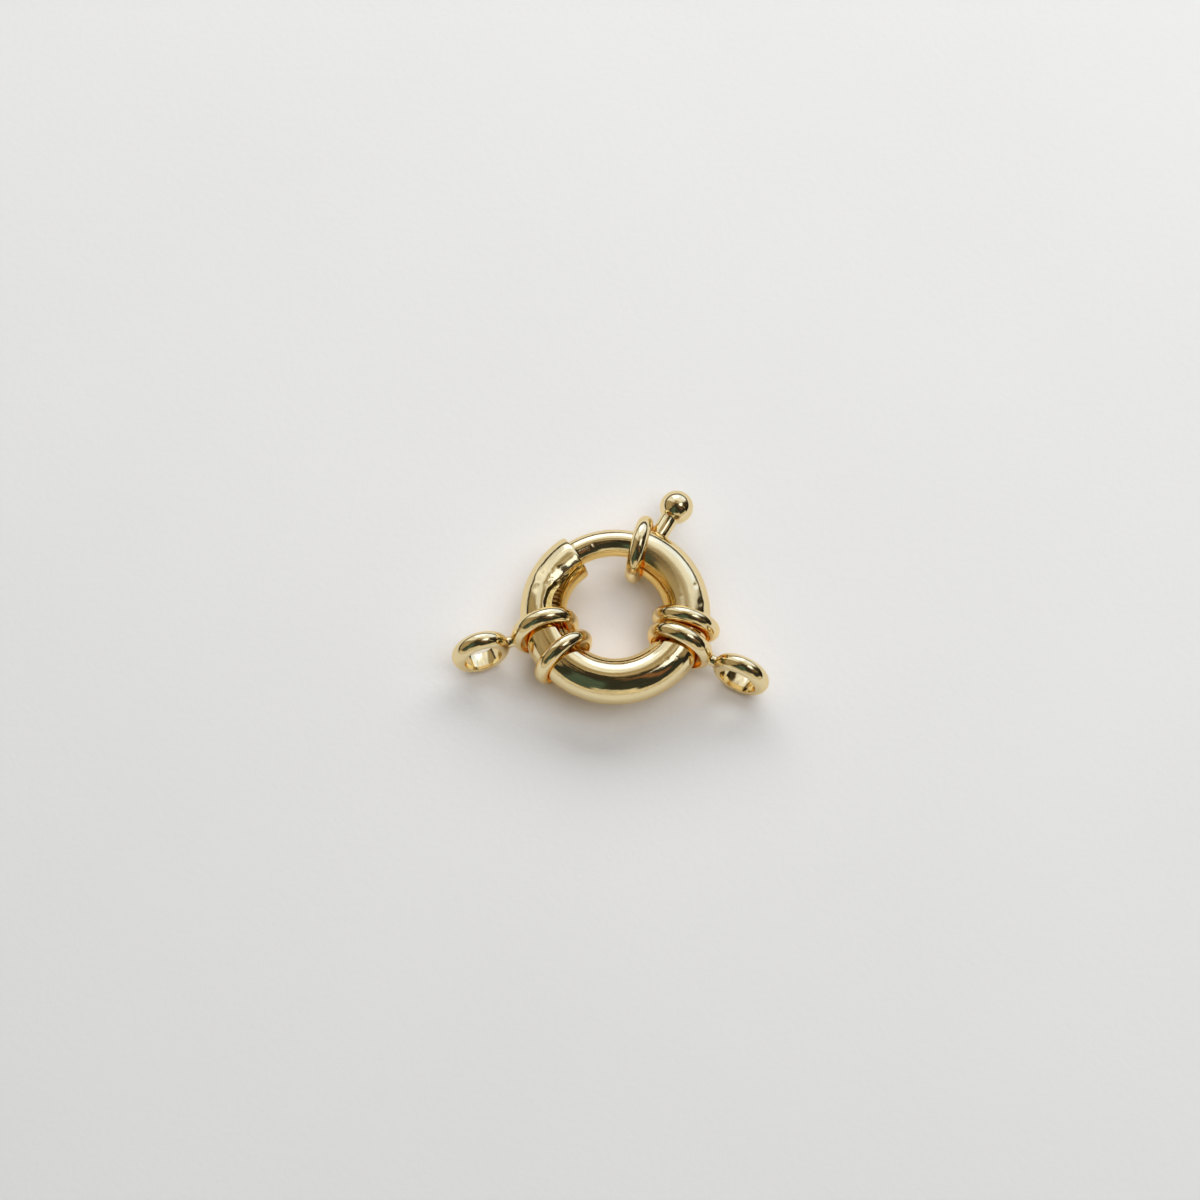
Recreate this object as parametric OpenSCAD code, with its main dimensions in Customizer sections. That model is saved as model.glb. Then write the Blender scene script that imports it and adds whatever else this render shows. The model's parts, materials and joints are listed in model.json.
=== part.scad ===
// Sailor clasp for a necklace or bracelet: a hollow spring ring that lies flat, with a captive
// link on each side of it. Angles are counted anticlockwise from +X round the ring's centre.

/* [Ring tube] */
// Radius of the tube's centre line, mm
ring_r = 6.8; // [6.7:0.05:6.9]
// Outer radius of the tube, mm
tube_r = 2.175; // [2.075:0.025:2.2]
// Thickness of the tube's wall, mm
tube_wall = 0.28; // [0.2:0.01:0.32]
// Angle of the tube's open mouth, where the bolt's tip goes in
mouth_a = 121; // [119:1:124]
// Angle of the tube's other end, under the mouth collar
tail_a = 71; // [70:0.5:73]

/* [Seam and window] */
// Height angle of the rolled seam, from the ring's inside up over the tube
seam_phi = 48; // [44:1:52]
// Width of the closed part of the seam, mm
seam_w = 0.08; // [0.06:0.01:0.12]
// Depth of the closed part of the seam, mm
seam_depth = 0.12; // [0.08:0.01:0.16]
// Angle of the middle of the window, where the seam gapes widest
window_a = 178; // [175:1:180]
// Angle from the window's middle to each tip
window_half_a = 21; // [18:1:23]
// Height angle of the window's inner lip
window_low_phi = 39.4; // [37:0.2:42]
// Height angle of the window's outer lip
window_high_phi = 69; // [62:1:71]

/* [Trigger slot] */
// Width of the slot that the trigger's shank runs in, mm
slot_w = 1.15; // [1.1:0.01:1.3]
// Angle of the slot's closed round end
slot_end_a = 11.8; // [9:0.1:12]

/* [Bolt and trigger] */
// Radius of the bolt's centre line, mm
bolt_path_r = 7.1; // [7.0:0.05:7.15]
// Radius of the bolt's rod, mm
bolt_r = 1.27; // [1.15:0.01:1.3]
// Angle of the bolt's round tip, inside the mouth
bolt_tip_a = 131; // [129:1:134]
// Angle of the bolt's flat rear end
bolt_rear_a = 52; // [50:1:54]
// Angle at which the trigger's foot stands in the bolt
trigger_a = 62.7; // [62:0.1:63.4]
// Direction in which the trigger points
trigger_dir = 59.6; // [58:0.1:61]
// Radius of the trigger's shank, mm
shank_r = 0.5; // [0.45:0.01:0.52]
// Radius of the trigger's post, mm
post_r = 0.83; // [0.75:0.01:0.84]
// Radius of the trigger's ball, mm
ball_r = 1.59; // [1.45:0.01:1.65]
// Distance from the trigger's foot to the middle of its ball, mm
ball_reach = 5.15; // [5.0:0.05:5.4]

/* [Coil spring] */
// Outer radius of the coil spring, mm
spring_r = 1.74; // [1.65:0.01:1.78]
// Thickness of the wall that stands for the spring's wire, mm
spring_wire = 0.26; // [0.22:0.01:0.32]
// Angle of the end of the spring that is held by the crimped tube
spring_a = 155; // [150:1:160]

/* [Collars] */
// Outer radius of each collar, mm
collar_r = 3.3; // [3.25:0.01:3.35]
// Radius of each collar's hole, mm
collar_hole_r = 2.57; // [2.54:0.01:2.6]
// Width of the mouth collar, mm
mouth_collar_w = 1.5; // [1.4:0.05:1.55]
// Width of the two side collars, mm
side_collar_w = 1.55; // [1.4:0.05:1.55]

/* [Links] */
// Outer radius of a link's large ring, mm
link_r = 3.3; // [3.25:0.01:3.35]
// Radius of the large ring's hole, which runs on the tube, mm
link_hole_r = 2.58; // [2.56:0.01:2.6]
// Width of the large ring, mm
link_w = 1.8; // [1.6:0.05:1.8]
// Outer radius of a link's eye, mm
eye_r = 2.8; // [2.7:0.02:2.82]
// Radius of the eye's hole, mm
eye_hole_r = 1.8; // [1.7:0.01:1.85]
// Width of the eye, mm
eye_w = 1.75; // [1.5:0.05:1.75]
// Distance from the large ring's middle to the eye's middle, mm
eye_reach = 6.38; // [6.35:0.01:6.5]
// Radius of the neck at its waist, mm
neck_r = 0.55; // [0.45:0.01:0.62]

/* [Hidden] */
$fn = 96;

// Place of the ring's centre over the middle of the whole clasp's footprint
ring_x = 0.47;
ring_y = -1.68;
ring_z = collar_r;
// Distance and angle by which a cutter passes what it cuts
past = 0.4;
past_a = 1;
// Angle by which the seam runs on into the window
seam_run_in = 2;
// Gap round the trigger's foot in its socket
gap = 0.05;
// Angle left free between the spring and the bolt's rear end
spring_rest_a = 0.5;
// Height of a link's lowest point over the floor
link_clear = 0.01;
// Share of the rod's radius to which the bolt's tip is rounded
tip_share = 0.995;
// Trigger's post starts this far along its axis, just clear of the tube
post_start = 2.0;
// Depth of the trigger's foot below the middle of the bolt
foot_depth = 0.2;
// Half length and extra radius of the flare at each end of a link's neck
neck_half = 0.5;
neck_flare = 0.14;
// Places of the rings that are threaded on the tube: angle on the ring, direction that the
// ring's own plane points in, lean about that direction, and shift outwards in mm
//                 angle, direction, lean, shift
mouth_collar_at = [70.3,   75.5,      0,    0.03];
left_collar_at  = [221.6,  219.8,     5,   -0.28];
right_collar_at = [350.8,  344.5,     0,   -0.05];
left_link_at    = [194.2,  197.3,    10.5,  0.04];
right_link_at   = [332.7,  334.8,    -6,    0.06];

metal = "#dcc88f";
bright = "#e6d6a6";
steel = "#b9ab84";

// Radius of the dome that passes over a band of width w and thickness t
function dome_r(w, t) = (w * w / 4 + t * t) / (2 * t);
// Plan radius of a point on the tube's outside at height angle phi
function plan_r(phi) = ring_r - tube_r * cos(phi);
// Place on a line from the centre of the circle through (tip_x, +-tip_y) and (mid_x, 0)
function arc_x(tip_x, tip_y, mid_x) =
    (mid_x * mid_x - tip_x * tip_x - tip_y * tip_y) / (2 * (mid_x - tip_x));

module at_ring() translate([ring_x, ring_y, ring_z]) children();

// Round bar bent to radius path_r, from angle from_a anticlockwise to angle to_a
module bent(path_r, from_a, to_a)
    rotate([0, 0, from_a])
        rotate_extrude(angle = to_a - from_a) translate([path_r, 0]) children();

// Puts a ring on the tube: its hole then lies along the tube
module on_tube(place, lift = 0)
    translate([(ring_r + place[3]) * cos(place[0]), (ring_r + place[3]) * sin(place[0]), lift])
        rotate([0, 0, place[1]]) rotate([place[2], 0, 0]) children();

// Ring with a flat inside and a domed outside, and its hole along Y
module band(outer, hole, w)
    rotate([90, 0, 0]) rotate_extrude() intersection() {
        translate([outer - dome_r(w, outer - hole), 0]) circle(r = dome_r(w, outer - hole));
        translate([hole, -w]) square([outer - hole, 2 * w]);
    }

// Long thin gap between two arcs in plan, where the rolled seam has opened
module window_cutter() {
    tip_x = plan_r(seam_phi) * cos(window_half_a);
    tip_y = plan_r(seam_phi) * sin(window_half_a);
    high_x = plan_r(window_high_phi);
    low_x = plan_r(window_low_phi);
    high_c = arc_x(tip_x, tip_y, high_x);
    low_c = arc_x(tip_x, tip_y, low_x);
    rotate([0, 0, window_a]) translate([0, 0, past]) linear_extrude(tube_r) difference() {
        translate([high_c, 0]) circle(r = high_x - high_c);
        translate([low_c, 0]) circle(r = low_x - low_c);
    }
}

module seam_cutter()
    bent(ring_r, mouth_a - past_a, window_a - window_half_a + seam_run_in)
        rotate(180 - seam_phi) translate([tube_r - seam_depth, -seam_w / 2])
            square([seam_depth + past, seam_w]);

module slot_cutter() {
    depth = tube_wall + 2 * past;
    bent(ring_r + tube_r + past - depth, slot_end_a, tail_a + past_a)
        translate([0, -slot_w / 2]) square([depth, slot_w]);
    rotate([0, 0, slot_end_a]) translate([ring_r + tube_r + past - depth, 0, 0])
        rotate([0, 90, 0]) cylinder(r = slot_w / 2, h = depth);
}

// Hollow tube rolled from sheet and bent round, open at both ends
module ring_tube()
    color(metal) at_ring() difference() {
        bent(ring_r, mouth_a, tail_a + 360) difference() {
            circle(r = tube_r);
            circle(r = tube_r - tube_wall);
        }
        window_cutter();
        seam_cutter();
        slot_cutter();
    }

// Outer form of the wire coil that fills the tube and pushes on the bolt
module coil_spring()
    color(steel) at_ring() bent(ring_r, spring_a, bolt_rear_a + 360 - spring_rest_a) difference() {
        circle(r = spring_r);
        circle(r = spring_r - spring_wire);
    }

module trigger_axis()
    rotate([0, 0, trigger_a]) translate([bolt_path_r, 0, 0])
        rotate([0, 0, trigger_dir - trigger_a]) rotate([0, 90, 0]) children();

// Solid curved rod that closes the gap, with a socket for the trigger
module bolt() {
    tip_centre_a = bolt_tip_a - asin(bolt_r / bolt_path_r);
    color(bright) at_ring() difference() {
        union() {
            bent(bolt_path_r, bolt_rear_a, tip_centre_a) circle(r = bolt_r);
            rotate([0, 0, tip_centre_a]) translate([bolt_path_r, 0, 0]) sphere(r = bolt_r * tip_share);
        }
        trigger_axis() translate([0, 0, -foot_depth - gap])
            cylinder(r = shank_r + gap, h = bolt_r * 2);
    }
}

// Turned post with a ball for the fingernail, set in the bolt through the slot
module trigger()
    color(bright) at_ring() trigger_axis() {
        translate([0, 0, -foot_depth]) cylinder(r = shank_r, h = post_start + foot_depth + gap);
        translate([0, 0, post_start]) cylinder(r = post_r, h = ball_reach - post_start);
        translate([0, 0, ball_reach]) sphere(r = ball_r);
    }

module mouth_collar()
    color(metal) at_ring() on_tube(mouth_collar_at) band(collar_r, collar_hole_r, mouth_collar_w);

module left_collar()
    color(metal) at_ring() on_tube(left_collar_at) band(collar_r, collar_hole_r, side_collar_w);

module right_collar()
    color(metal) at_ring() on_tube(right_collar_at) band(collar_r, collar_hole_r, side_collar_w);

// Waisted neck along Z that joins a link's large ring to its eye
module neck() {
    hollow_r = (neck_flare * neck_flare + neck_half * neck_half) / (2 * neck_flare);
    rotate_extrude() difference() {
        translate([0, -neck_half]) square([neck_r + neck_flare, 2 * neck_half]);
        translate([neck_r + hollow_r, 0]) circle(r = hollow_r);
    }
}

// Figure-of-eight link lying on the floor, cast in one piece
module link(place) {
    drop = link_r - eye_r;
    slope = asin(drop / eye_reach);
    dome = dome_r(link_w, link_r - link_hole_r);
    lift = (link_r - dome) * cos(place[2]) + dome + link_clear - ring_z;
    on_tube(place, lift) rotate([0, slope, 0]) difference() {
        union() {
            band(link_r, link_hole_r, link_w);
            translate([eye_reach, 0, 0]) band(eye_r, eye_hole_r, eye_w);
            translate([(eye_reach + link_r - eye_r) / 2, 0, 0]) rotate([0, 90, 0]) neck();
        }
        rotate([90, 0, 0]) cylinder(r = link_hole_r, h = 2 * link_w, center = true);
        translate([eye_reach, 0, 0]) rotate([90, 0, 0])
            cylinder(r = eye_hole_r, h = 2 * eye_w, center = true);
    }
}

module left_link() color(metal) at_ring() link(left_link_at);

module right_link() color(metal) at_ring() link(right_link_at);

ring_tube();
coil_spring();
bolt();
trigger();
mouth_collar();
left_collar();
right_collar();
left_link();
right_link();
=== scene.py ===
import json
import math

import bmesh
import bpy
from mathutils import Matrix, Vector


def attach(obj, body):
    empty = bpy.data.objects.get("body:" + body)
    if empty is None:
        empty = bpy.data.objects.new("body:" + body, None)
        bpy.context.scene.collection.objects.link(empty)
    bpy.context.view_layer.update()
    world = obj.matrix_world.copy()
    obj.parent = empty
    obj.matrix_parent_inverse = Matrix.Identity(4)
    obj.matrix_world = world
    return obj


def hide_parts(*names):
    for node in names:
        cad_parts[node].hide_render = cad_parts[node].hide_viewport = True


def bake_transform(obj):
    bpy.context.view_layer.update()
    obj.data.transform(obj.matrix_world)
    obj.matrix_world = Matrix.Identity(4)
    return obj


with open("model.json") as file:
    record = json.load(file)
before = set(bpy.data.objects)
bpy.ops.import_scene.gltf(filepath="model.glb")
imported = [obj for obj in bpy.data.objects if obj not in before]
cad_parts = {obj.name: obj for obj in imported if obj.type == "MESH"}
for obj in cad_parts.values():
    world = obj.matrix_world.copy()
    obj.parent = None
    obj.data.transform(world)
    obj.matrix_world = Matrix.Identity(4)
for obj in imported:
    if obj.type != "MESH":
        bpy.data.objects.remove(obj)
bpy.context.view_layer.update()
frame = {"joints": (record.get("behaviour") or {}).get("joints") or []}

# Camera: the clasp was photographed from the front and nearly from overhead, with a long lens,
# and covers only the middle of the frame. The ring's middle is the axis on which the bolt and
# both links slide round.
MM = 0.001
slide = next(joint for joint in frame["joints"] if joint["name"] == "bolt_slide")
ring_middle = Vector(slide["pos_m"])
camera_elevation = math.radians(70.2)
camera_distance = 350 * MM
camera_right, camera_up = -1.437 * MM, 1.257 * MM
width_shown = 113.4 * MM
sensor = 36
nearest_seen = 5 * MM
view_back = Vector((0, -math.cos(camera_elevation), math.sin(camera_elevation)))
view_up = Vector((0, math.sin(camera_elevation), math.cos(camera_elevation)))
view_right = Vector((1, 0, 0))
camera_place = ring_middle + view_back * camera_distance
camera_place = camera_place + view_right * camera_right + view_up * camera_up
bpy.ops.object.camera_add(location=camera_place, rotation=(math.pi / 2 - camera_elevation, 0, 0))
camera = bpy.context.object
camera.data.sensor_width = sensor
camera.data.lens = sensor * camera_distance / width_shown
camera.data.clip_start = nearest_seen
bpy.context.scene.camera = camera
bpy.context.scene.view_settings.view_transform = "Standard"

# Studio: what the polished gold mirrors is a wide pale window behind the clasp, a narrow one to
# its right, and a dim warm room with a dark side in front. Four soft lamps light the paper.
# Directions are azimuths from straight behind the clasp towards its right, and heights.
mirror_bounces = 12
world = bpy.data.worlds.new("studio")
bpy.context.scene.world = world
world.use_nodes = True
world.cycles_visibility.diffuse = False
bpy.context.scene.cycles.glossy_bounces = mirror_bounces
sky = world.node_tree
sky.nodes.clear()


def add_node(tree, kind, settings=(), inputs=()):
    """Adds a node and sets its properties, and its inputs to values or to other nodes' sockets."""
    made = tree.nodes.new(kind)
    for name, value in dict(settings).items():
        setattr(made, name, value)
    for key, value in dict(inputs).items():
        if isinstance(value, bpy.types.NodeSocket):
            tree.links.new(value, made.inputs[key])
        else:
            made.inputs[key].default_value = value
    return made


def reckon(tree, operation, *values):
    """A calculation with one, two or three values."""
    return add_node(
        tree, "ShaderNodeMath", {"operation": operation}, dict(enumerate(values))
    ).outputs[0]


def move(tree, operation, first, second=None):
    """A calculation with places. It gives a place, or a value for a length or a distance."""
    inputs = {0: first}
    if second is not None:
        inputs[3 if operation == "SCALE" else 1] = second
    made = add_node(tree, "ShaderNodeVectorMath", {"operation": operation}, inputs)
    return made.outputs["Value" if operation in ("LENGTH", "DISTANCE") else "Vector"]


def split(tree, place):
    """The X, Y and Z of a place."""
    return add_node(tree, "ShaderNodeSeparateXYZ", {}, {0: place}).outputs


def join(tree, *parts):
    """A place from its X, Y and Z."""
    return add_node(tree, "ShaderNodeCombineXYZ", {}, dict(enumerate(parts))).outputs[0]


def noise(tree, place, scale, detail, roughness=0.5, output="Fac"):
    """Soft random spots, about as many in a metre as the scale says."""
    return add_node(
        tree, "ShaderNodeTexNoise", {},
        {"Vector": place, "Scale": scale, "Detail": detail, "Roughness": roughness},
    ).outputs[output]


def fade(tree, value, span, results=(1.0, 0.0), kind="SMOOTHSTEP"):
    """Goes from one result to the other as a value crosses a span, softly unless LINEAR."""
    return add_node(
        tree, "ShaderNodeMapRange", {"interpolation_type": kind},
        {"Value": value, 1: span[0], 2: span[1], 3: results[0], 4: results[1]},
    ).outputs[0]


def mix(tree, share, under, over, kind="MIX"):
    """Lays one colour over another, or multiplies it by the other."""
    return add_node(
        tree, "ShaderNodeMix", {"data_type": "RGBA", "blend_type": kind},
        {"Factor": share, 6: under, 7: over},
    ).outputs[2]


def bump(tree, pattern, depth, **inputs):
    """Relief with the depth of a pattern from its darkest to its brightest."""
    return add_node(
        tree, "ShaderNodeBump", {},
        {"Height": pattern, "Distance": depth, "Strength": 1.0, **inputs},
    ).outputs[0]


# Overhead the edges of things are ragged, so that they don't all run together in one point.
# Everywhere else they only wobble, by some degrees of azimuth.
ragged_power, ragged_reach = 8.0, 1.3
wobble_degrees = 14.0
noise_middle = 0.5
way = add_node(sky, "ShaderNodeTexCoord").outputs["Generated"]
overhead = reckon(sky, "MAXIMUM", split(sky, way)["Z"], 0.0)
overhead = reckon(sky, "MULTIPLY", reckon(sky, "POWER", overhead, ragged_power), ragged_reach)
ragged = noise(sky, way, scale=3.5, detail=3.0, output="Color")
ragged = move(sky, "SUBTRACT", ragged, (noise_middle,) * 3)
ragged = move(sky, "SCALE", ragged, overhead)
axes = split(sky, move(sky, "NORMALIZE", move(sky, "ADD", way, ragged)))
sky_height = reckon(sky, "DEGREES", reckon(sky, "ARCSINE", axes["Z"]))
sky_azimuth = reckon(sky, "DEGREES", reckon(sky, "ARCTAN2", axes["X"], axes["Y"]))
wobble = reckon(sky, "SUBTRACT", noise(sky, way, scale=3.0, detail=2.0), noise_middle)
wobble = reckon(sky, "MULTIPLY", wobble, wobble_degrees)


def between(value, low, high, soft):
    """1 between two angles and 0 outside them, with soft edges."""
    away = reckon(sky, "ABSOLUTE", reckon(sky, "SUBTRACT", value, (low + high) / 2))
    reach = (high - low) / 2
    return fade(sky, away, (reach - soft / 2, reach + soft / 2))


def light_patch(under, colour, azimuths, heights, soft):
    """Lays a patch of the room over what is already there."""
    turned = reckon(sky, "SUBTRACT", sky_azimuth, sum(azimuths) / 2)
    turned = reckon(sky, "ADD", reckon(sky, "WRAP", turned, 180.0, -180.0), wobble)
    reach = (azimuths[1] - azimuths[0]) / 2
    across = between(turned, -reach, reach, soft)
    upward = between(sky_height, *heights, soft)
    return mix(sky, reckon(sky, "MULTIPLY", across, upward), under, (*colour, 1))


room = add_node(sky, "ShaderNodeRGB").outputs[0]
room.default_value = (0.27, 0.195, 0.105, 1)
all_round = (-400, 400)
#     colour                 azimuths      heights    soft
for colour, azimuths, heights, soft in (
    ((0.36, 0.295, 0.185), (-135, -48), (5, 60), 22),
    ((0.42, 0.34, 0.21), (-60, 62), (55, 76), 6),
    ((0.87, 0.91, 0.975), (-56, 62), (13, 65), 12),
    ((0.95, 1.12, 1.55), (-2, 52), (9, 36), 5),
    ((1.50, 1.70, 2.30), (-24, 17), (18, 44), 8),
    ((1.40, 1.55, 1.85), (72, 110), (50, 71), 8),
    ((0.045, 0.038, 0.030), (60, 84), (-15, 28), 14),
    ((0.045, 0.038, 0.027), (66, 84), (20, 48), 8),
    ((0.022, 0.018, 0.012), (84, 150), (8, 44), 6),
    ((0.035, 0.038, 0.030), (108, 242), (16, 82), 8),
    ((0.068, 0.105, 0.085), (190, 228), (18, 62), 8),
    ((0.22, 0.11, 0.055), (122, 138), (38, 72), 8),
    ((0.30, 0.24, 0.15), (101, 109), (26, 52), 3),
    ((0.035, 0.030, 0.022), all_round, (78, 100), 5),
    ((0.022, 0.017, 0.012), (60, 150), (-25, 14), 6),
    ((0.035, 0.028, 0.022), (-100, 62), (-15, 11), 4),
    ((0.64, 0.58, 0.46), (118, 242), (-90, 14), 4),
    ((0.64, 0.58, 0.46), (160, 200), (-90, 28), 6),
):
    room = light_patch(room, colour, azimuths, heights, soft)
# Things in the room make it uneven
clutter_span, clutter_light = (0.3, 0.7), (0.75, 1.25)
clutter = noise(sky, way, scale=6.0, detail=4.0, roughness=0.6)
clutter = fade(sky, clutter, clutter_span, clutter_light, "LINEAR")
room = mix(sky, 1.0, room, clutter, "MULTIPLY")
# What gold throws on the paper is made stronger than what it mirrors, to give the warm glow
glow_on_paper = (3.5, 3.05, 2.9, 1)
seen_past_paper = (0.74, 0.74, 0.73, 1)
ray = add_node(sky, "ShaderNodeLightPath").outputs
bounced = add_node(sky, "ShaderNodeClamp", {}, {"Value": ray["Diffuse Depth"]}).outputs[0]
room = mix(sky, bounced, room, mix(sky, 1.0, room, glow_on_paper, "MULTIPLY"))
room = mix(sky, ray["Is Camera Ray"], room, seen_past_paper)
background = add_node(sky, "ShaderNodeBackground", {}, {"Color": room, "Strength": 1.0})
add_node(sky, "ShaderNodeOutputWorld", {}, {"Surface": background.outputs[0]})

#     lamp              azimuth height distance wide deep power
for name, azimuth, height, distance, wide, deep, power in (
    ("ceiling_light", 0, 90, 0.50, 0.60, 0.60, 0.83),
    ("side_light", 95, 62, 0.50, 0.40, 0.40, 0.76),
    ("window_light", 10, 33, 0.60, 0.90, 0.36, 3.25),
    ("far_window_light", -45, 33, 0.60, 0.60, 0.36, 0.57),
):
    turn, climb = math.radians(azimuth), math.radians(height)
    across = math.cos(climb)
    towards = Vector((across * math.sin(turn), across * math.cos(turn), math.sin(climb)))
    bpy.ops.object.light_add(
        type="AREA", location=ring_middle + towards * distance,
        rotation=towards.to_track_quat("Z", "Y").to_euler(),
    )
    lamp = bpy.context.object
    lamp.name = lamp.data.name = name
    lamp.data.shape = "ELLIPSE"
    lamp.data.size, lamp.data.size_y, lamp.data.energy = wide, deep, power
    lamp.visible_glossy = lamp.visible_camera = False

# Paper: the clasp lies on a sheet of plain matt white paper with a faint tooth. The sheet is so
# wide that the photo's frame shows none of its edges.
paper_side = 1200 * MM
paper_dark, paper_light = (0.79, 0.787, 0.780, 1), (0.83, 0.827, 0.82, 1)
paper_rough, paper_shine = 0.9, 0.2
tooth_depth, tooth_strength = 0.06 * MM, 0.4
bpy.ops.mesh.primitive_plane_add(size=paper_side, location=(0, 0, 0))
paper = bpy.context.object
paper.name = "paper"
paper_look = bpy.data.materials.new("paper")
paper_look.use_nodes = True
tree = paper_look.node_tree
place = add_node(tree, "ShaderNodeTexCoord").outputs["Object"]
tooth = noise(tree, place, scale=1400.0, detail=4.0)
cloud = noise(tree, place, scale=30.0, detail=3.0)
matt = tree.nodes["Principled BSDF"]
matt.inputs["Roughness"].default_value = paper_rough
matt.inputs["Specular IOR Level"].default_value = paper_shine
tree.links.new(mix(tree, cloud, paper_dark, paper_light), matt.inputs["Base Color"])
tree.links.new(
    bump(tree, tooth, tooth_depth, Strength=tooth_strength), matt.inputs["Normal"]
)
paper.data.materials.append(paper_look)

# Ring tube: thin brass sheet rolled to a tube round a seam, bent to a ring, crimped near its
# mouth to hold the spring, and plated with pale gold. The seam gapes in a long window on the
# inside, and a slot on the outside lets the trigger travel.
ring_r = 6.8 * MM
tube_r = 2.175 * MM
tube_wall = 0.28 * MM
tube_rows, tube_steps = 144, 280
mouth_a, tail_a = 121, 71
# The round tube is first slit here, and the rows up to so many degrees away are then squeezed
seam_phi, squeeze_phi = 48, 75
# How the seam runs: the lower and the upper sheet's edges, the crease from which the upper sheet
# is rolled in flat, and how far in it lies at the fold and then at its edge
#   ring angle  lower  upper  crease  fold and sink in mm
seam = (
    (121, 44.0, 46.5, 58, 0.05, 0.10),
    (135, 44.0, 47.0, 61, 0.06, 0.12),
    (150, 43.5, 48.0, 67, 0.07, 0.12),
    (158, 42.0, 54.0, 76, 0.08, 0.08),
    (167, 40.0, 63.0, 87, 0.14, 0.02),
    (178, 39.4, 66.0, 91, 0.16, 0.01),
    (190, 41.5, 62.0, 87, 0.14, 0.01),
    (199, 44.0, 49.0, 68, 0.08, 0.04),
    (225, 47.0, 49.0, 60, 0.03, 0.03),
    (270, 48.0, 50.0, 59, 0.02, 0.02),
    (315, 47.0, 49.5, 60, 0.03, 0.03),
    (350, 43.0, 47.0, 62, 0.01, 0.10),
    (370, 40.0, 44.5, 61, 0.01, 0.13),
    (390, 30.0, 34.0, 54, 0.01, 0.10),
    (410, 25.5, 29.5, 48, 0.01, 0.09),
    (431, 25.0, 29.0, 45, 0.01, 0.08),
)
fold_wide = 10
# The mouth's edge lies back and leans by so many degrees, and the tube necks in there
mouth_back, mouth_lean, mouth_reach = 2.0, 1.4, 14
mouth_neck, neck_power = 0.09 * MM, 6
slot_w = 1.15 * MM
slot_end_a, slot_past_a = 11.8, 2
slot_steps, slot_sides = 60, 64
rim_round, rim_steps, rim_sharp = 0.04 * MM, 2, 50
doubled, sliver = 0.002 * MM, 0.00001 * MM


def on_ring(angle, radius=ring_r, height=0):
    """A point in the ring's plane, by its angle round the middle and its distance from it."""
    turn = math.radians(angle)
    return ring_middle + Vector((radius * math.cos(turn), radius * math.sin(turn), height))


def on_tube(angle, phi, radius=tube_r, path=ring_r):
    """A point of the tube. phi runs from the ring's inside, up over the tube, to its outside."""
    lift = math.radians(phi)
    return on_ring(angle, path - radius * math.cos(lift), radius * math.sin(lift))


def tube_place(point):
    """The ring angle and the phi of a point of the tube, in degrees."""
    away = point - ring_middle
    angle = math.degrees(math.atan2(away.y, away.x)) % 360
    phi = math.degrees(math.atan2(away.z, ring_r - math.hypot(away.x, away.y))) % 360
    return angle, phi


def across_ring(angle):
    """The rotation that stands a flat primitive across the ring."""
    return math.pi / 2, 0, math.radians(angle)


def outwards(angle):
    """The rotation that lays a primitive's axis level, and points it away from the middle."""
    return 0, math.pi / 2, math.radians(angle)


def start(name):
    """Names the primitive that was just added, and opens it for editing."""
    piece = bpy.context.object
    piece.name = piece.data.name = name
    bpy.ops.object.transform_apply(location=True, rotation=True, scale=True)
    bpy.ops.object.mode_set(mode="EDIT")
    return piece


def pick(piece, test, kind="VERT"):
    """Selects the corners or the edges whose middle passes a test, and nothing else."""
    bpy.ops.mesh.select_mode(type=kind)
    bpy.ops.mesh.select_all(action="DESELECT")
    mesh = bmesh.from_edit_mesh(piece.data)
    if kind == "VERT":
        for corner in mesh.verts:
            corner.select_set(test(corner.co))
    else:
        for edge in mesh.edges:
            edge.select_set(test((edge.verts[0].co + edge.verts[1].co) / 2))
    mesh.select_flush_mode()
    bmesh.update_edit_mesh(piece.data)


def spin_round(steps, from_a, to_a):
    """Sweeps what is selected round the ring."""
    bpy.ops.mesh.spin(
        steps=steps, angle=-math.radians(to_a - from_a), center=ring_middle, axis=(0, 0, 1)
    )


def dent(piece, spot, middle, size, depth, grip):
    """Pushes the corners at a spot towards a middle, and their neighbours with them. In mm."""
    pick(piece, lambda place: (place - spot).length < grip * MM)
    bpy.ops.transform.translate(
        value=(middle - spot).normalized() * depth * MM, use_proportional_edit=True,
        proportional_edit_falloff="SMOOTH", proportional_size=size * MM,
    )


def face_outwards():
    """Joins doubled corners and turns every face outwards."""
    bpy.ops.mesh.select_all(action="SELECT")
    bpy.ops.mesh.remove_doubles(threshold=doubled)
    bpy.ops.mesh.normals_make_consistent(inside=False)


def choose(piece):
    """Selects one piece and nothing else."""
    bpy.ops.object.select_all(action="DESELECT")
    piece.select_set(True)
    bpy.context.view_layer.objects.active = piece


def settle(piece):
    """Closes the edit and puts the piece's place into its mesh."""
    if bpy.context.object.mode == "EDIT":
        bpy.ops.object.mode_set(mode="OBJECT")
    choose(piece)
    bpy.ops.object.transform_apply(location=True, rotation=True, scale=True)


def finish_with(piece, kind, **settings):
    """Adds a modifier to a piece and applies it."""
    bpy.context.view_layer.objects.active = piece
    modifier = piece.modifiers.new(kind.lower(), kind)
    for name, value in settings.items():
        setattr(modifier, name, value)
    bpy.ops.object.modifier_apply(modifier=modifier.name)


def cut(piece, cutter, operation="DIFFERENCE"):
    """Cuts a piece with another one, or joins it on, and uses the other one up."""
    finish_with(piece, "BOOLEAN", operation=operation, object=cutter, solver="EXACT")
    bpy.data.objects.remove(cutter)


def weld_slivers(piece):
    """Closes up the slivers of no width that cuts and bevels leave."""
    finish_with(piece, "WELD", merge_threshold=sliver)


def smooth(piece, sharp=35):
    """Smooth shading, with the edges sharper than an angle kept crisp."""
    choose(piece)
    bpy.ops.object.shade_smooth_by_angle(angle=math.radians(sharp))


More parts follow.
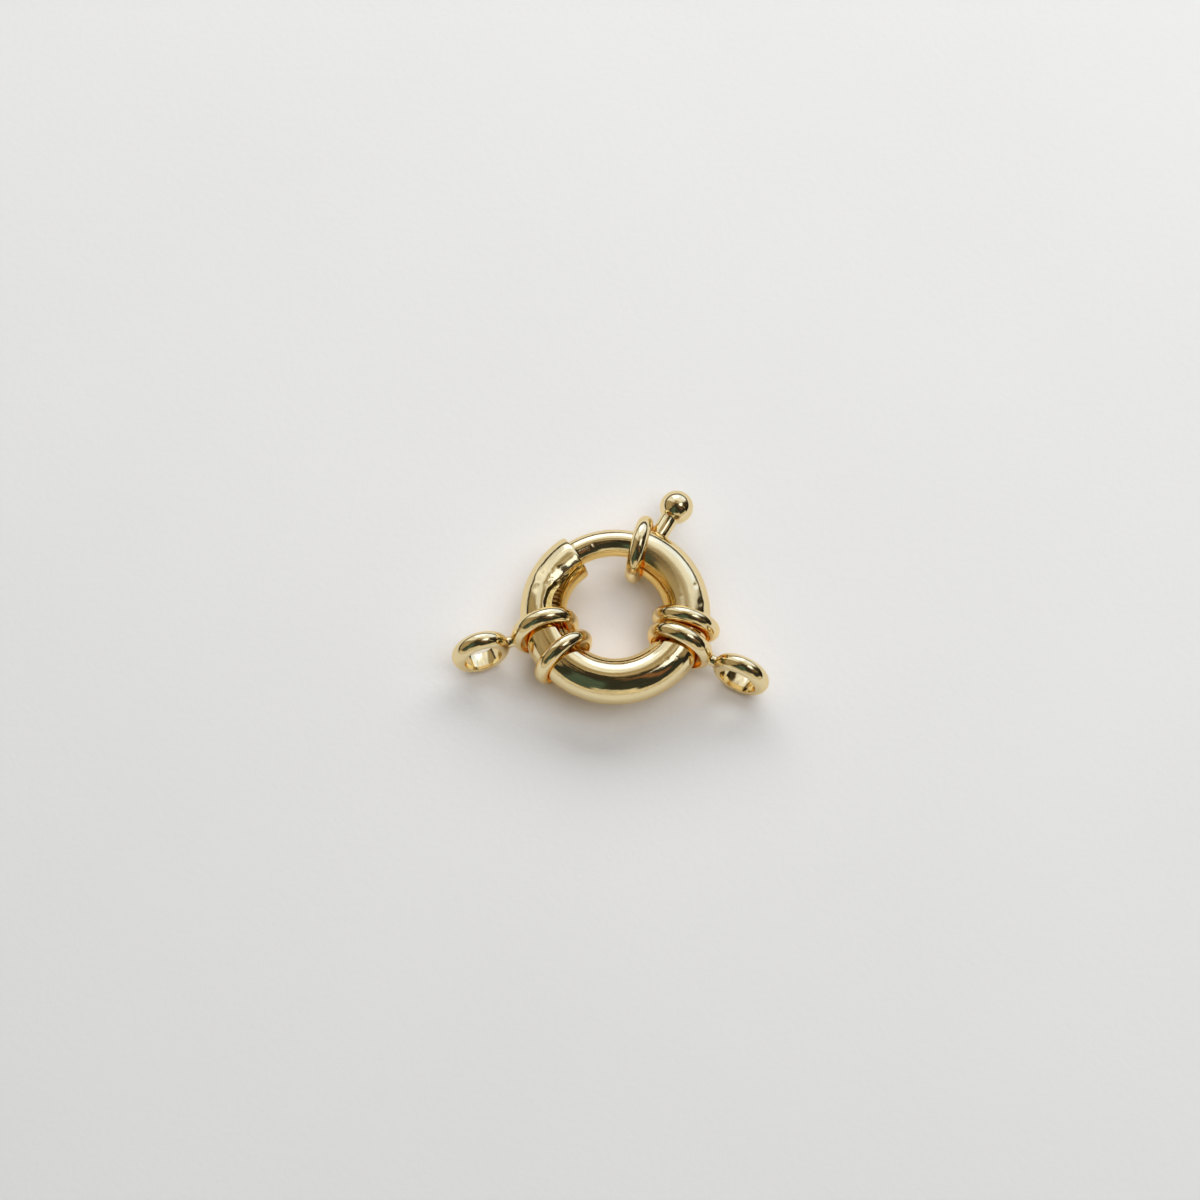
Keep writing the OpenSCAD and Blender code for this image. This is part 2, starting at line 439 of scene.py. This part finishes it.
row_turn = math.tau / tube_rows
bpy.ops.mesh.primitive_circle_add(
    vertices=tube_rows, radius=tube_r, location=on_ring(mouth_a),
    rotation=(math.pi / 2, -math.radians(180 - seam_phi) - row_turn / 2, math.radians(mouth_a)),
)
ring_tube = start("rolled_tube")
seam_middle = on_tube(mouth_a, seam_phi)
pick(ring_tube, lambda middle: (middle - seam_middle).length < tube_r * row_turn / 4, "EDGE")
bpy.ops.mesh.delete(type="EDGE")
bpy.ops.mesh.select_mode(type="VERT")
bpy.ops.mesh.select_all(action="SELECT")
spin_round(tube_steps, mouth_a, 360 + tail_a)
bpy.ops.object.mode_set(mode="OBJECT")


def ease(share, whole=1):
    """A share of a whole, with a smooth start and end."""
    return whole * share ** 2 * (3 - 2 * share)


def seam_at(angle):
    """The seam table's row at a ring angle, with a smooth change from row to row."""
    after = next(count for count, row in enumerate(seam) if angle <= row[0] or row is seam[-1])
    first, second = seam[max(after - 1, 0)], seam[after]
    share = ease(min(max((angle - first[0]) / max(second[0] - first[0], 1), 0), 1))
    return [one + (other - one) * share for one, other in zip(first[1:], second[1:])]


def rolled_in(phi, upper, crease, fold, sink):
    """How far inside the round the upper sheet lies: past the crease it is flat, not round."""
    past = crease - phi
    if past <= 0:
        return 0
    half = math.radians(crease - upper) / 2
    flat = tube_r * (1 - math.cos(half) / math.cos(math.radians(past) - half))
    return flat + (ease(min(past / fold_wide, 1), fold) + sink * past / (crease - upper)) * MM


# Each corner of the round tube goes to where the seam, the rolled-in sheet and the mouth put it
half_row = math.degrees(row_turn) / 2
for corner in ring_tube.data.vertices:
    angle, phi = tube_place(corner.co)
    if angle < mouth_a - 1:
        angle += 360
    lower, upper, crease, fold, sink = seam_at(angle)
    from_seam = (phi - seam_phi + 180) % 360 - 180
    if abs(from_seam) < squeeze_phi:
        side = 1 if from_seam > 0 else -1
        lip = upper if side > 0 else lower
        share = (abs(from_seam) - half_row) / (squeeze_phi - half_row)
        phi = lip + (seam_phi + side * squeeze_phi - lip) * share
    inward = rolled_in(phi, upper, crease, fold, sink) if from_seam > 0 else 0
    from_mouth = max(0, 1 - (angle - mouth_a) / mouth_reach)
    angle += (mouth_back + mouth_lean * max(0, math.sin(math.radians(phi)))) * from_mouth
    corner.co = on_tube(angle, phi, tube_r - inward - mouth_neck * from_mouth ** neck_power)
bpy.ops.object.mode_set(mode="EDIT")
face_outwards()

# Dents that the crimping pliers and wear left in the tube: ring angle, phi, size and depth in mm
dent_grip = 0.1
dents = (
    (148, 71, 1.10, 0.100), (158, 75, 1.10, 0.110), (156, 114, 0.75, 0.060),
    (166, 112, 0.60, 0.025), (151, 122, 0.35, 0.030), (150, 96, 0.24, 0.014),
    (153, 85, 0.22, 0.028), (155, 91, 0.20, 0.020), (158, 86, 0.22, 0.026),
    (161, 92, 0.22, 0.022), (148, 80, 0.26, 0.022), (145, 87, 0.22, 0.014),
    (157, 80, 0.22, 0.022), (15.5, 119, 0.36, 0.050), (13, 106, 0.40, 0.012),
    (3, 125, 0.42, 0.040), (9, 74, 0.30, 0.012), (17, 70, 0.26, 0.012),
    (22, 66, 0.26, 0.010), (312, 100, 0.30, 0.010), (318, 112, 0.30, 0.014),
)
for angle, phi, size, depth in dents:
    dent(ring_tube, on_tube(angle, phi), on_ring(angle), size, depth, dent_grip)
settle(ring_tube)
finish_with(ring_tube, "SOLIDIFY", thickness=tube_wall, offset=-1, use_even_offset=True)

# The slot is cut right out through the tube's tail, and ends round
slot_middle = on_ring(slot_end_a, ring_r + tube_r)
bpy.ops.mesh.primitive_plane_add(
    size=slot_w, location=slot_middle, rotation=across_ring(slot_end_a)
)
slot_cutter = start("slot_cutter")
spin_round(slot_steps, slot_end_a, tail_a + slot_past_a)
face_outwards()
settle(slot_cutter)
bpy.ops.mesh.primitive_cylinder_add(
    vertices=slot_sides, radius=slot_w / 2, depth=slot_w, location=slot_middle,
    rotation=outwards(slot_end_a),
)
cut(slot_cutter, bpy.context.object, "UNION")
cut(ring_tube, slot_cutter)
finish_with(
    ring_tube, "BEVEL", width=rim_round, segments=rim_steps, limit_method="ANGLE",
    angle_limit=math.radians(rim_sharp),
)
weld_slivers(ring_tube)
smooth(ring_tube)

# The plating's colour everywhere. The deeper yellow on the ring's inside and the near-orange on the
# faces next to the tube are painted reflection, of gold mirroring gold and shaded paper. The
# plating is warmer where its spots are dull, and paler where it is seen at a slant.
plating = (0.915, 0.765, 0.455)
inside_painted_reflection = (0.98, 0.73, 0.28)
near_tube_painted_reflection = (0.955, 0.67, 0.27)
warm_share = (0.97, 0.95, 0.90)
glancing_tint = (0.95, 0.83, 0.62, 1)
dull_spots = (0.35, 0.7)
# The drawn pattern's ends meet at the mouth collar, and it is stretched along the ring
turned_from = math.radians(250.3)
drawn_share = 0.4
# The worn tube: where it turns from polish to satin, and how rough that is, where the satin is
# hazy as well, and where the crimp crumpled it
satin_y = (-3.5 * MM, -1.0 * MM)
satin_spots, satin_rough = (0.3, 0.7), (0.07, 0.16)
haze_x, haze_away, haze_rough = (-1.0 * MM, 3.0 * MM), (7.2 * MM, 8.1 * MM), 0.09
crumple_middle, crumple_reach = on_tube(154, 86), (0.3 * MM, 1.2 * MM)
# At the window the painted reflection's deeper yellow reaches further out, over the rolled lip
lip_turn = math.radians(174) - turned_from
lip_span, lip_reach = (0.17, 0.45), 0.95 * MM


def gold(
    name, polish, satin, ripple=0.006 * MM, base=plating,
    drawn=False, worn=False, inside=None, hole=None,
):
    """Pale gold plating over brass: polish and satin are the roughness of its brightest and
    dullest spots, ripple is the depth of the waves left by the polishing, and base is its
    colour. drawn pulls the pattern out along the ring, as on a drawn tube. Worn gold, which has
    to be drawn too, goes from a mirror in front to satin behind, and the crimp has crumpled it.
    inside gives the distances from the ring's middle within which a deeper yellow is painted in as
    painted reflection of gold in gold, and hole those from the tube's middle line within which a
    near-orange painted reflection lies."""
    look = bpy.data.materials.new(name)
    look.use_nodes = True
    tree = look.node_tree
    metal = tree.nodes["Principled BSDF"]
    metal.inputs["Metallic"].default_value = 1.0
    metal.inputs["Specular Tint"].default_value = glancing_tint
    whole = place = add_node(tree, "ShaderNodeTexCoord").outputs["Object"]
    parts = split(tree, move(tree, "SUBTRACT", place, ring_middle))
    flat = join(tree, parts[0], parts[1])
    away = move(tree, "LENGTH", flat)
    if drawn:
        swung = add_node(
            tree, "ShaderNodeVectorRotate", {"rotation_type": "Z_AXIS"},
            {"Vector": flat, "Angle": -turned_from},
        )
        swung = split(tree, swung.outputs[0])
        turn = reckon(tree, "ARCTAN2", swung[1], swung[0])
        along = reckon(tree, "MULTIPLY", turn, drawn_share * ring_r)
        place = join(tree, away, along, parts[2])
    spots = noise(tree, place, scale=700.0, detail=5.0, roughness=0.6)
    sheen = fade(tree, spots, dull_spots, (polish, satin), "LINEAR")
    waves = noise(tree, place, scale=1500.0, detail=5.0, roughness=0.66)
    relief = bump(tree, waves, ripple)
    if worn:
        dulled = fade(tree, split(tree, whole)[1], satin_y, (0.0, 1.0))
        dull = fade(tree, spots, satin_spots, satin_rough, "LINEAR")
        hazy = fade(tree, parts[0], haze_x, (0.0, haze_rough))
        dull = reckon(tree, "MULTIPLY_ADD", hazy, fade(tree, away, haze_away), dull)
        sheen = add_node(
            tree, "ShaderNodeMix", {"data_type": "FLOAT"}, {"Factor": dulled, 2: sheen, 3: dull}
        ).outputs[0]
        crumpled = move(tree, "DISTANCE", whole, crumple_middle)
        crumpled = fade(tree, crumpled, crumple_reach)
        for mask, scale, depth in ((dulled, 3500.0, 0.003 * MM), (crumpled, 950.0, 0.045 * MM)):
            grain = noise(tree, whole, scale, detail=3.0, roughness=0.6)
            relief = bump(tree, reckon(tree, "MULTIPLY", mask, grain), depth, Normal=relief)
    warm = [part * share for part, share in zip(base, warm_share)]
    tint = mix(tree, spots, (*base, 1), (*warm, 1))
    # A deeper yellow painted reflection on the ring's inside: gold mirroring gold and shaded paper
    if inside:
        inwards = away
        if worn:
            lip = reckon(tree, "ABSOLUTE", reckon(tree, "SUBTRACT", turn, lip_turn))
            lip = fade(tree, lip, lip_span, (lip_reach, 0.0))
            inwards = reckon(tree, "SUBTRACT", away, lip)
        painted_inside_share = fade(tree, inwards, inside)
        if worn:
            painted_inside_share = reckon(tree, "MULTIPLY", painted_inside_share, dulled)
        tint = mix(tree, painted_inside_share, tint, (*inside_painted_reflection, 1))
    # A near-orange painted reflection on the faces next to the tube: gold mirroring gold in the
    # crevice
    if hole:
        across = join(tree, reckon(tree, "SUBTRACT", away, ring_r), parts[2])
        painted_near_tube_share = fade(tree, move(tree, "LENGTH", across), hole)
        tint = mix(tree, painted_near_tube_share, tint, (*near_tube_painted_reflection, 1))
    tree.links.new(sheen, metal.inputs["Roughness"])
    tree.links.new(tint, metal.inputs["Base Color"])
    tree.links.new(relief, metal.inputs["Normal"])
    return look


def hand_over(piece, look, node, body):
    """Gives a finished piece its metal and its body, and hides the solid that it stands for."""
    piece.data.materials.clear()
    piece.data.materials.append(look)
    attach(piece, body)
    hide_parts(node)


# Its inside distances place a deeper yellow painted reflection on the ring's inside
tube_gold = gold(
    "rolled_tube_gold", polish=0.025, satin=0.085, ripple=0.013 * MM, drawn=True, worn=True,
    inside=(5.62 * MM, 5.74 * MM),
)
hand_over(ring_tube, tube_gold, "ring_tube", "ring")

# Coil spring: steel wire wound close, gold plated with the rest. The crimp holds one end, and the
# other end pushes on the bolt. The part behind the bolt squeezes up as the bolt goes back; here it
# is built as a second coil, wound closer.
spring_wire_r = 0.13 * MM
spring_path_r = 1.74 * MM - spring_wire_r
crimp_a, squeezed_a, spring_end_a = 155, 250, 411.5
held_turns, squeezed_turns = 22, 28
wire_sides, wire_sharp = 10, 60
turn_sides = 28


def coil(name, from_a, to_a, turns):
    """A helix wound straight along X, closed at its ends, and then bent round to the ring."""
    length = math.radians(to_a - from_a) * ring_r - 2 * spring_wire_r
    bpy.ops.mesh.primitive_circle_add(
        vertices=wire_sides, radius=spring_wire_r, location=(0, 0, spring_path_r),
        rotation=(math.pi / 2, 0, 0),
    )
    piece = start(name)
    settle(piece)
    finish_with(
        piece, "SCREW", axis="X", screw_offset=length / turns, angle=math.tau, iterations=turns,
        steps=turn_sides, render_steps=turn_sides,
    )
    bpy.ops.object.mode_set(mode="EDIT")
    bpy.ops.mesh.select_all(action="SELECT")
    bpy.ops.mesh.fill_holes(sides=wire_sides)
    face_outwards()
    bpy.ops.mesh.select_all(action="SELECT")
    bpy.ops.transform.translate(value=(-length / 2, 0, 0))
    settle(piece)
    finish_with(
        piece, "SIMPLE_DEFORM", deform_method="BEND", deform_axis="Z",
        angle=piece.dimensions.x / ring_r,
    )
    piece.location.y = -ring_r
    settle(piece)
    piece.rotation_euler.z = math.radians((from_a + to_a) / 2 + 90)
    piece.location = ring_middle
    settle(piece)
    smooth(piece, wire_sharp)
    return piece


# The spring's darker, more orange gold is painted shade, for the shade inside the tube
spring_painted_shade_gold = gold("spring_wire_gold", polish=0.25, satin=0.4, base=(0.88, 0.68, 0.36))
held_coil = coil("held_coil", crimp_a, squeezed_a, held_turns)
hand_over(held_coil, spring_painted_shade_gold, "coil_spring", "ring")
squeezed_coil = coil("squeezed_coil", squeezed_a, spring_end_a, squeezed_turns)
squeezed_coil.data.materials.clear()
squeezed_coil.data.materials.append(spring_painted_shade_gold)
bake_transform(squeezed_coil)
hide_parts("coil_spring")

# Bolt: a solid brass rod, bent to the ring's curve, with a round polished tip that closes the
# gap and a flat rear end that the spring pushes on. The trigger is set in a hole drilled in it.
bolt_path_r = 7.1 * MM
bolt_r = 1.27 * MM
bolt_rear_a, bolt_tip_a = 52, 131
rear_round, rear_steps = 0.12 * MM, 4
trigger_a, trigger_dir = 62.7, 59.6
shank_r = 0.5 * MM
shank_sides = 48
socket_gap = 0.05 * MM
socket_deep = 0.25 * MM
rod_sides, rod_steps = 96, 90
touching = 0.001 * MM


def draw_out(centre, radius, stations):
    """Draws the selected round loop out through more middles and radii, and selects the last."""
    for next_centre, next_radius in stations:
        bpy.ops.mesh.extrude_region_move(
            TRANSFORM_OT_translate={"value": next_centre - centre, "orient_type": "GLOBAL"}
        )
        share = next_radius / radius
        bpy.ops.transform.resize(value=(share, share, share), center_override=next_centre)
        centre, radius = next_centre, next_radius


def quarter_dome(centre, towards, radius, steps=16):
    """Stations of a round end, up to its pole's last small loop."""
    turns = [math.pi / 2 * count / steps for count in range(1, steps)]
    return [(centre + towards * radius * math.sin(turn), radius * math.cos(turn)) for turn in turns]


tip_centre_a = bolt_tip_a - math.degrees(math.asin(bolt_r / bolt_path_r))
rear_centre = on_ring(bolt_rear_a, bolt_path_r)
bpy.ops.mesh.primitive_circle_add(
    vertices=rod_sides, radius=bolt_r, location=rear_centre, rotation=across_ring(bolt_rear_a)
)
bolt = start("bolt_rod")
spin_round(rod_steps, bolt_rear_a, tip_centre_a)
tip_centre = on_ring(tip_centre_a, bolt_path_r)
forwards = on_ring(tip_centre_a + 90, 1) - ring_middle
pick(bolt, lambda place: abs((place - tip_centre).dot(forwards)) < touching)
draw_out(tip_centre, bolt_r, quarter_dome(tip_centre, forwards, bolt_r))
bpy.ops.mesh.edge_face_add()
bpy.ops.mesh.poke()
backwards = ring_middle - on_ring(bolt_rear_a + 90, 1)
pick(bolt, lambda place: abs((place - rear_centre).dot(backwards)) < touching)
bpy.ops.mesh.edge_face_add()
bpy.ops.mesh.bevel(offset=rear_round, segments=rear_steps, affect="EDGES")
face_outwards()
settle(bolt)
trigger_foot = on_ring(trigger_a, bolt_path_r)
trigger_turn = math.radians(trigger_dir)
trigger_way = Vector((math.cos(trigger_turn), math.sin(trigger_turn), 0))
bpy.ops.mesh.primitive_cylinder_add(
    vertices=shank_sides, radius=shank_r + socket_gap, depth=2 * bolt_r,
    location=trigger_foot + trigger_way * (bolt_r - socket_deep),
    rotation=outwards(trigger_dir),
)
cut(bolt, bpy.context.object)

# Two small pits near the tip
pit_size, pit_depth, pit_grip = 0.25, 0.03, 0.08
bpy.ops.object.mode_set(mode="EDIT")
for angle, phi in ((107.3, 73.7), (111.2, 66.8)):
    spot = on_tube(angle, phi, bolt_r, bolt_path_r)
    dent(bolt, spot, on_ring(angle, bolt_path_r), pit_size, pit_depth, pit_grip)
settle(bolt)
smooth(bolt)
# Its inside distances place a deeper yellow painted reflection on the bolt's inner side
bolt_gold = gold(
    "bolt_gold", polish=0.05, satin=0.16, ripple=0.010 * MM, drawn=True,
    inside=(5.92 * MM, 6.08 * MM),
)
hand_over(bolt, bolt_gold, "bolt", "bolt")

# Trigger: a turned brass post with a ball for the fingernail. The post's foot is hollowed to the
# tube's round and runs just clear of it, and its thin shank passes through the slot and is
# riveted in the bolt.
post_r = 0.83 * MM
post_start = 1.7 * MM
ball_r = 1.59 * MM
ball_reach = 5.15 * MM
ball_steps = 40
shoulder, shoulder_flare = 0.06 * MM, 0.3
foot_deep = 0.2 * MM
foot_clear = 0.04 * MM
foot_steps, foot_sides = 360, 120


def along_trigger(reach):
    """A point on the trigger's middle line."""
    return trigger_foot + trigger_way * reach


bpy.ops.mesh.primitive_circle_add(
    vertices=rod_sides, radius=post_r, location=along_trigger(post_start), fill_type="NGON",
    rotation=outwards(trigger_dir),
)
trigger = start("trigger_post")
bpy.ops.mesh.select_all(action="SELECT")
root_turn = math.asin(post_r / ball_r)
root = ball_reach - ball_r * math.cos(root_turn)
stations = [
    (along_trigger(root - shoulder), post_r),
    (along_trigger(root), post_r + shoulder_flare * shoulder),
]
for count in range(1, ball_steps):
    turn = root_turn + (math.pi - root_turn) * count / ball_steps
    stations.append((along_trigger(ball_reach - ball_r * math.cos(turn)), ball_r * math.sin(turn)))
draw_out(along_trigger(post_start), post_r, stations)
bpy.ops.mesh.poke()
face_outwards()
settle(trigger)
bpy.ops.mesh.primitive_torus_add(
    major_radius=ring_r, minor_radius=tube_r + foot_clear, major_segments=foot_steps,
    minor_segments=foot_sides, location=ring_middle,
)
cut(trigger, bpy.context.object)
shank_end = post_start + 2 * shank_r
bpy.ops.mesh.primitive_cylinder_add(
    vertices=shank_sides, radius=shank_r, depth=shank_end + foot_deep,
    location=along_trigger((shank_end - foot_deep) / 2), rotation=outwards(trigger_dir),
)
cut(trigger, bpy.context.object, "UNION")
smooth(trigger)
hand_over(trigger, bolt_gold, "trigger", "bolt")

# Collars: three closed bands, flat inside and domed outside, threaded on the tube before its
# ends were closed. One covers the tube's tail at the trigger, and two hold the links apart.
collar_r = 3.3 * MM
collar_hole_r = 2.57 * MM
mouth_collar_w, side_collar_w = 1.5 * MM, 1.55 * MM
edge_round = 0.06 * MM
corner_steps = 4
arc_sides, band_steps = 72, 144
cut_line = 0.0001 * MM


def dome_radius(outer, hole, width):
    """The radius of a band's domed section."""
    thick = outer - hole
    return (width ** 2 / 4 + thick ** 2) / (2 * thick)


def band(name, outer, hole, width):
    """A ring with its hole along Y: a domed section, closed flat inside, and spun round."""
    dome = dome_radius(outer, hole, width)
    bpy.ops.mesh.primitive_circle_add(
        vertices=arc_sides, radius=dome, location=(outer - dome, 0, 0)
    )
    piece = start(name)
    bpy.ops.mesh.select_all(action="SELECT")
    corner_x = hole + edge_round
    bpy.ops.mesh.bisect(
        plane_co=(corner_x, 0, 0), plane_no=(1, 0, 0), clear_inner=True, threshold=cut_line
    )
    # Both corners at the hole are rounded
    for side in (1, -1):
        pick(piece, lambda place: place.x < corner_x + touching and place.y * side > 0)
        for count in range(corner_steps):
            turns = [math.pi / 2 * (count + more) / corner_steps for more in (0, 1)]
            across = math.sin(turns[0]) - math.sin(turns[1])
            along = math.cos(turns[1]) - math.cos(turns[0])
            corner_move = (edge_round * across, side * edge_round * along, 0)
            bpy.ops.mesh.extrude_region_move(TRANSFORM_OT_translate={"value": corner_move})
    pick(piece, lambda place: place.x < hole + touching)
    bpy.ops.mesh.edge_face_add()
    bpy.ops.mesh.select_all(action="SELECT")
    bpy.ops.mesh.spin(steps=band_steps, angle=math.tau, center=(0, 0, 0), axis=(0, 1, 0))
    face_outwards()
    settle(piece)
    return piece


def thread_on(piece, angle, direction, lean, shift, lift=0):
    """Puts a ring on the tube: its hole then lies along the tube."""
    piece.rotation_euler = (math.radians(lean), 0, math.radians(direction))
    piece.location = on_ring(angle, ring_r + shift * MM, lift)
    settle(piece)
    smooth(piece)


# Its hole distances place a near-orange painted reflection on the faces next to the tube
collar_gold = gold(
    "collar_gold", polish=0.06, satin=0.14, ripple=0.008 * MM, hole=(2.64 * MM, 2.80 * MM)
)
#     name            width            angle  direction lean shift in mm
for name, width, place in (
    ("mouth_collar", mouth_collar_w, (70.3, 75.5, 0, 0.03)),
    ("left_collar", side_collar_w, (221.6, 219.8, 5, -0.28)),
    ("right_collar", side_collar_w, (350.8, 344.5, 0, -0.05)),
):
    collar = band(name + "_band", collar_r, collar_hole_r, width)
    thread_on(collar, *place)
    hand_over(collar, collar_gold, name, "ring")

# Links: one figure-of-eight casting on each side. Its large ring is captive on the tube and its
# eye, a little smaller, takes the chain. Both lie on the paper, joined by a short waisted neck.
link_r, link_hole_r, link_w = 3.3 * MM, 2.58 * MM, 1.8 * MM
eye_r, eye_hole_r, eye_w = 2.8 * MM, 1.8 * MM, 1.75 * MM
eye_reach = 6.38 * MM
neck_r, neck_half, neck_flare = 0.55 * MM, 0.5 * MM, 0.14 * MM
neck_sides, neck_steps = 48, 12
link_clear = 0.01 * MM


def cast_link(name):
    """A large ring and an eye joined by a neck, tilted so that both rest on one surface."""
    link = band(name, link_r, link_hole_r, link_w)
    eye = band(name + "_eye", eye_r, eye_hole_r, eye_w)
    eye.location.x = eye_reach
    settle(eye)
    hollow = (neck_flare ** 2 + neck_half ** 2) / (2 * neck_flare)
    middle = (eye_reach + link_r - eye_r) / 2
    reaches = [neck_half * (2 * count / neck_steps - 1) for count in range(neck_steps + 1)]
    waist = [
        (Vector((middle + reach, 0, 0)), neck_r + hollow - math.sqrt(hollow ** 2 - reach ** 2))
        for reach in reaches
    ]
    bpy.ops.mesh.primitive_circle_add(
        vertices=neck_sides, radius=waist[0][1], location=waist[0][0], fill_type="NGON",
        rotation=outwards(0),
    )
    neck = start(name + "_neck")
    bpy.ops.mesh.select_all(action="SELECT")
    draw_out(*waist[0], waist[1:])
    face_outwards()
    settle(neck)
    cut(link, neck, "UNION")
    cut(link, eye, "UNION")
    link.rotation_euler.y = math.asin((link_r - eye_r) / eye_reach)
    settle(link)
    weld_slivers(link)
    return link


# Its hole distances place a near-orange painted reflection on the faces next to the tube
cast_gold = gold(
    "cast_gold", polish=0.06, satin=0.14, ripple=0.008 * MM, hole=(2.66 * MM, 2.84 * MM)
)
# Each link is lifted until the dome of its leaning large ring just clears the paper
link_dome = dome_radius(link_r, link_hole_r, link_w)
#     side     angle  direction lean shift in mm
for side, place in (
    ("left", (194.2, 197.3, 10.5, 0.04)),
    ("right", (332.7, 334.8, -6, 0.06)),
):
    link = cast_link(side + "_link_casting")
    lean = math.radians(place[2])
    lift = (link_r - link_dome) * math.cos(lean) + link_dome + link_clear - ring_middle.z
    thread_on(link, *place, lift)
    hand_over(link, cast_gold, side + "_link", side + "_link")
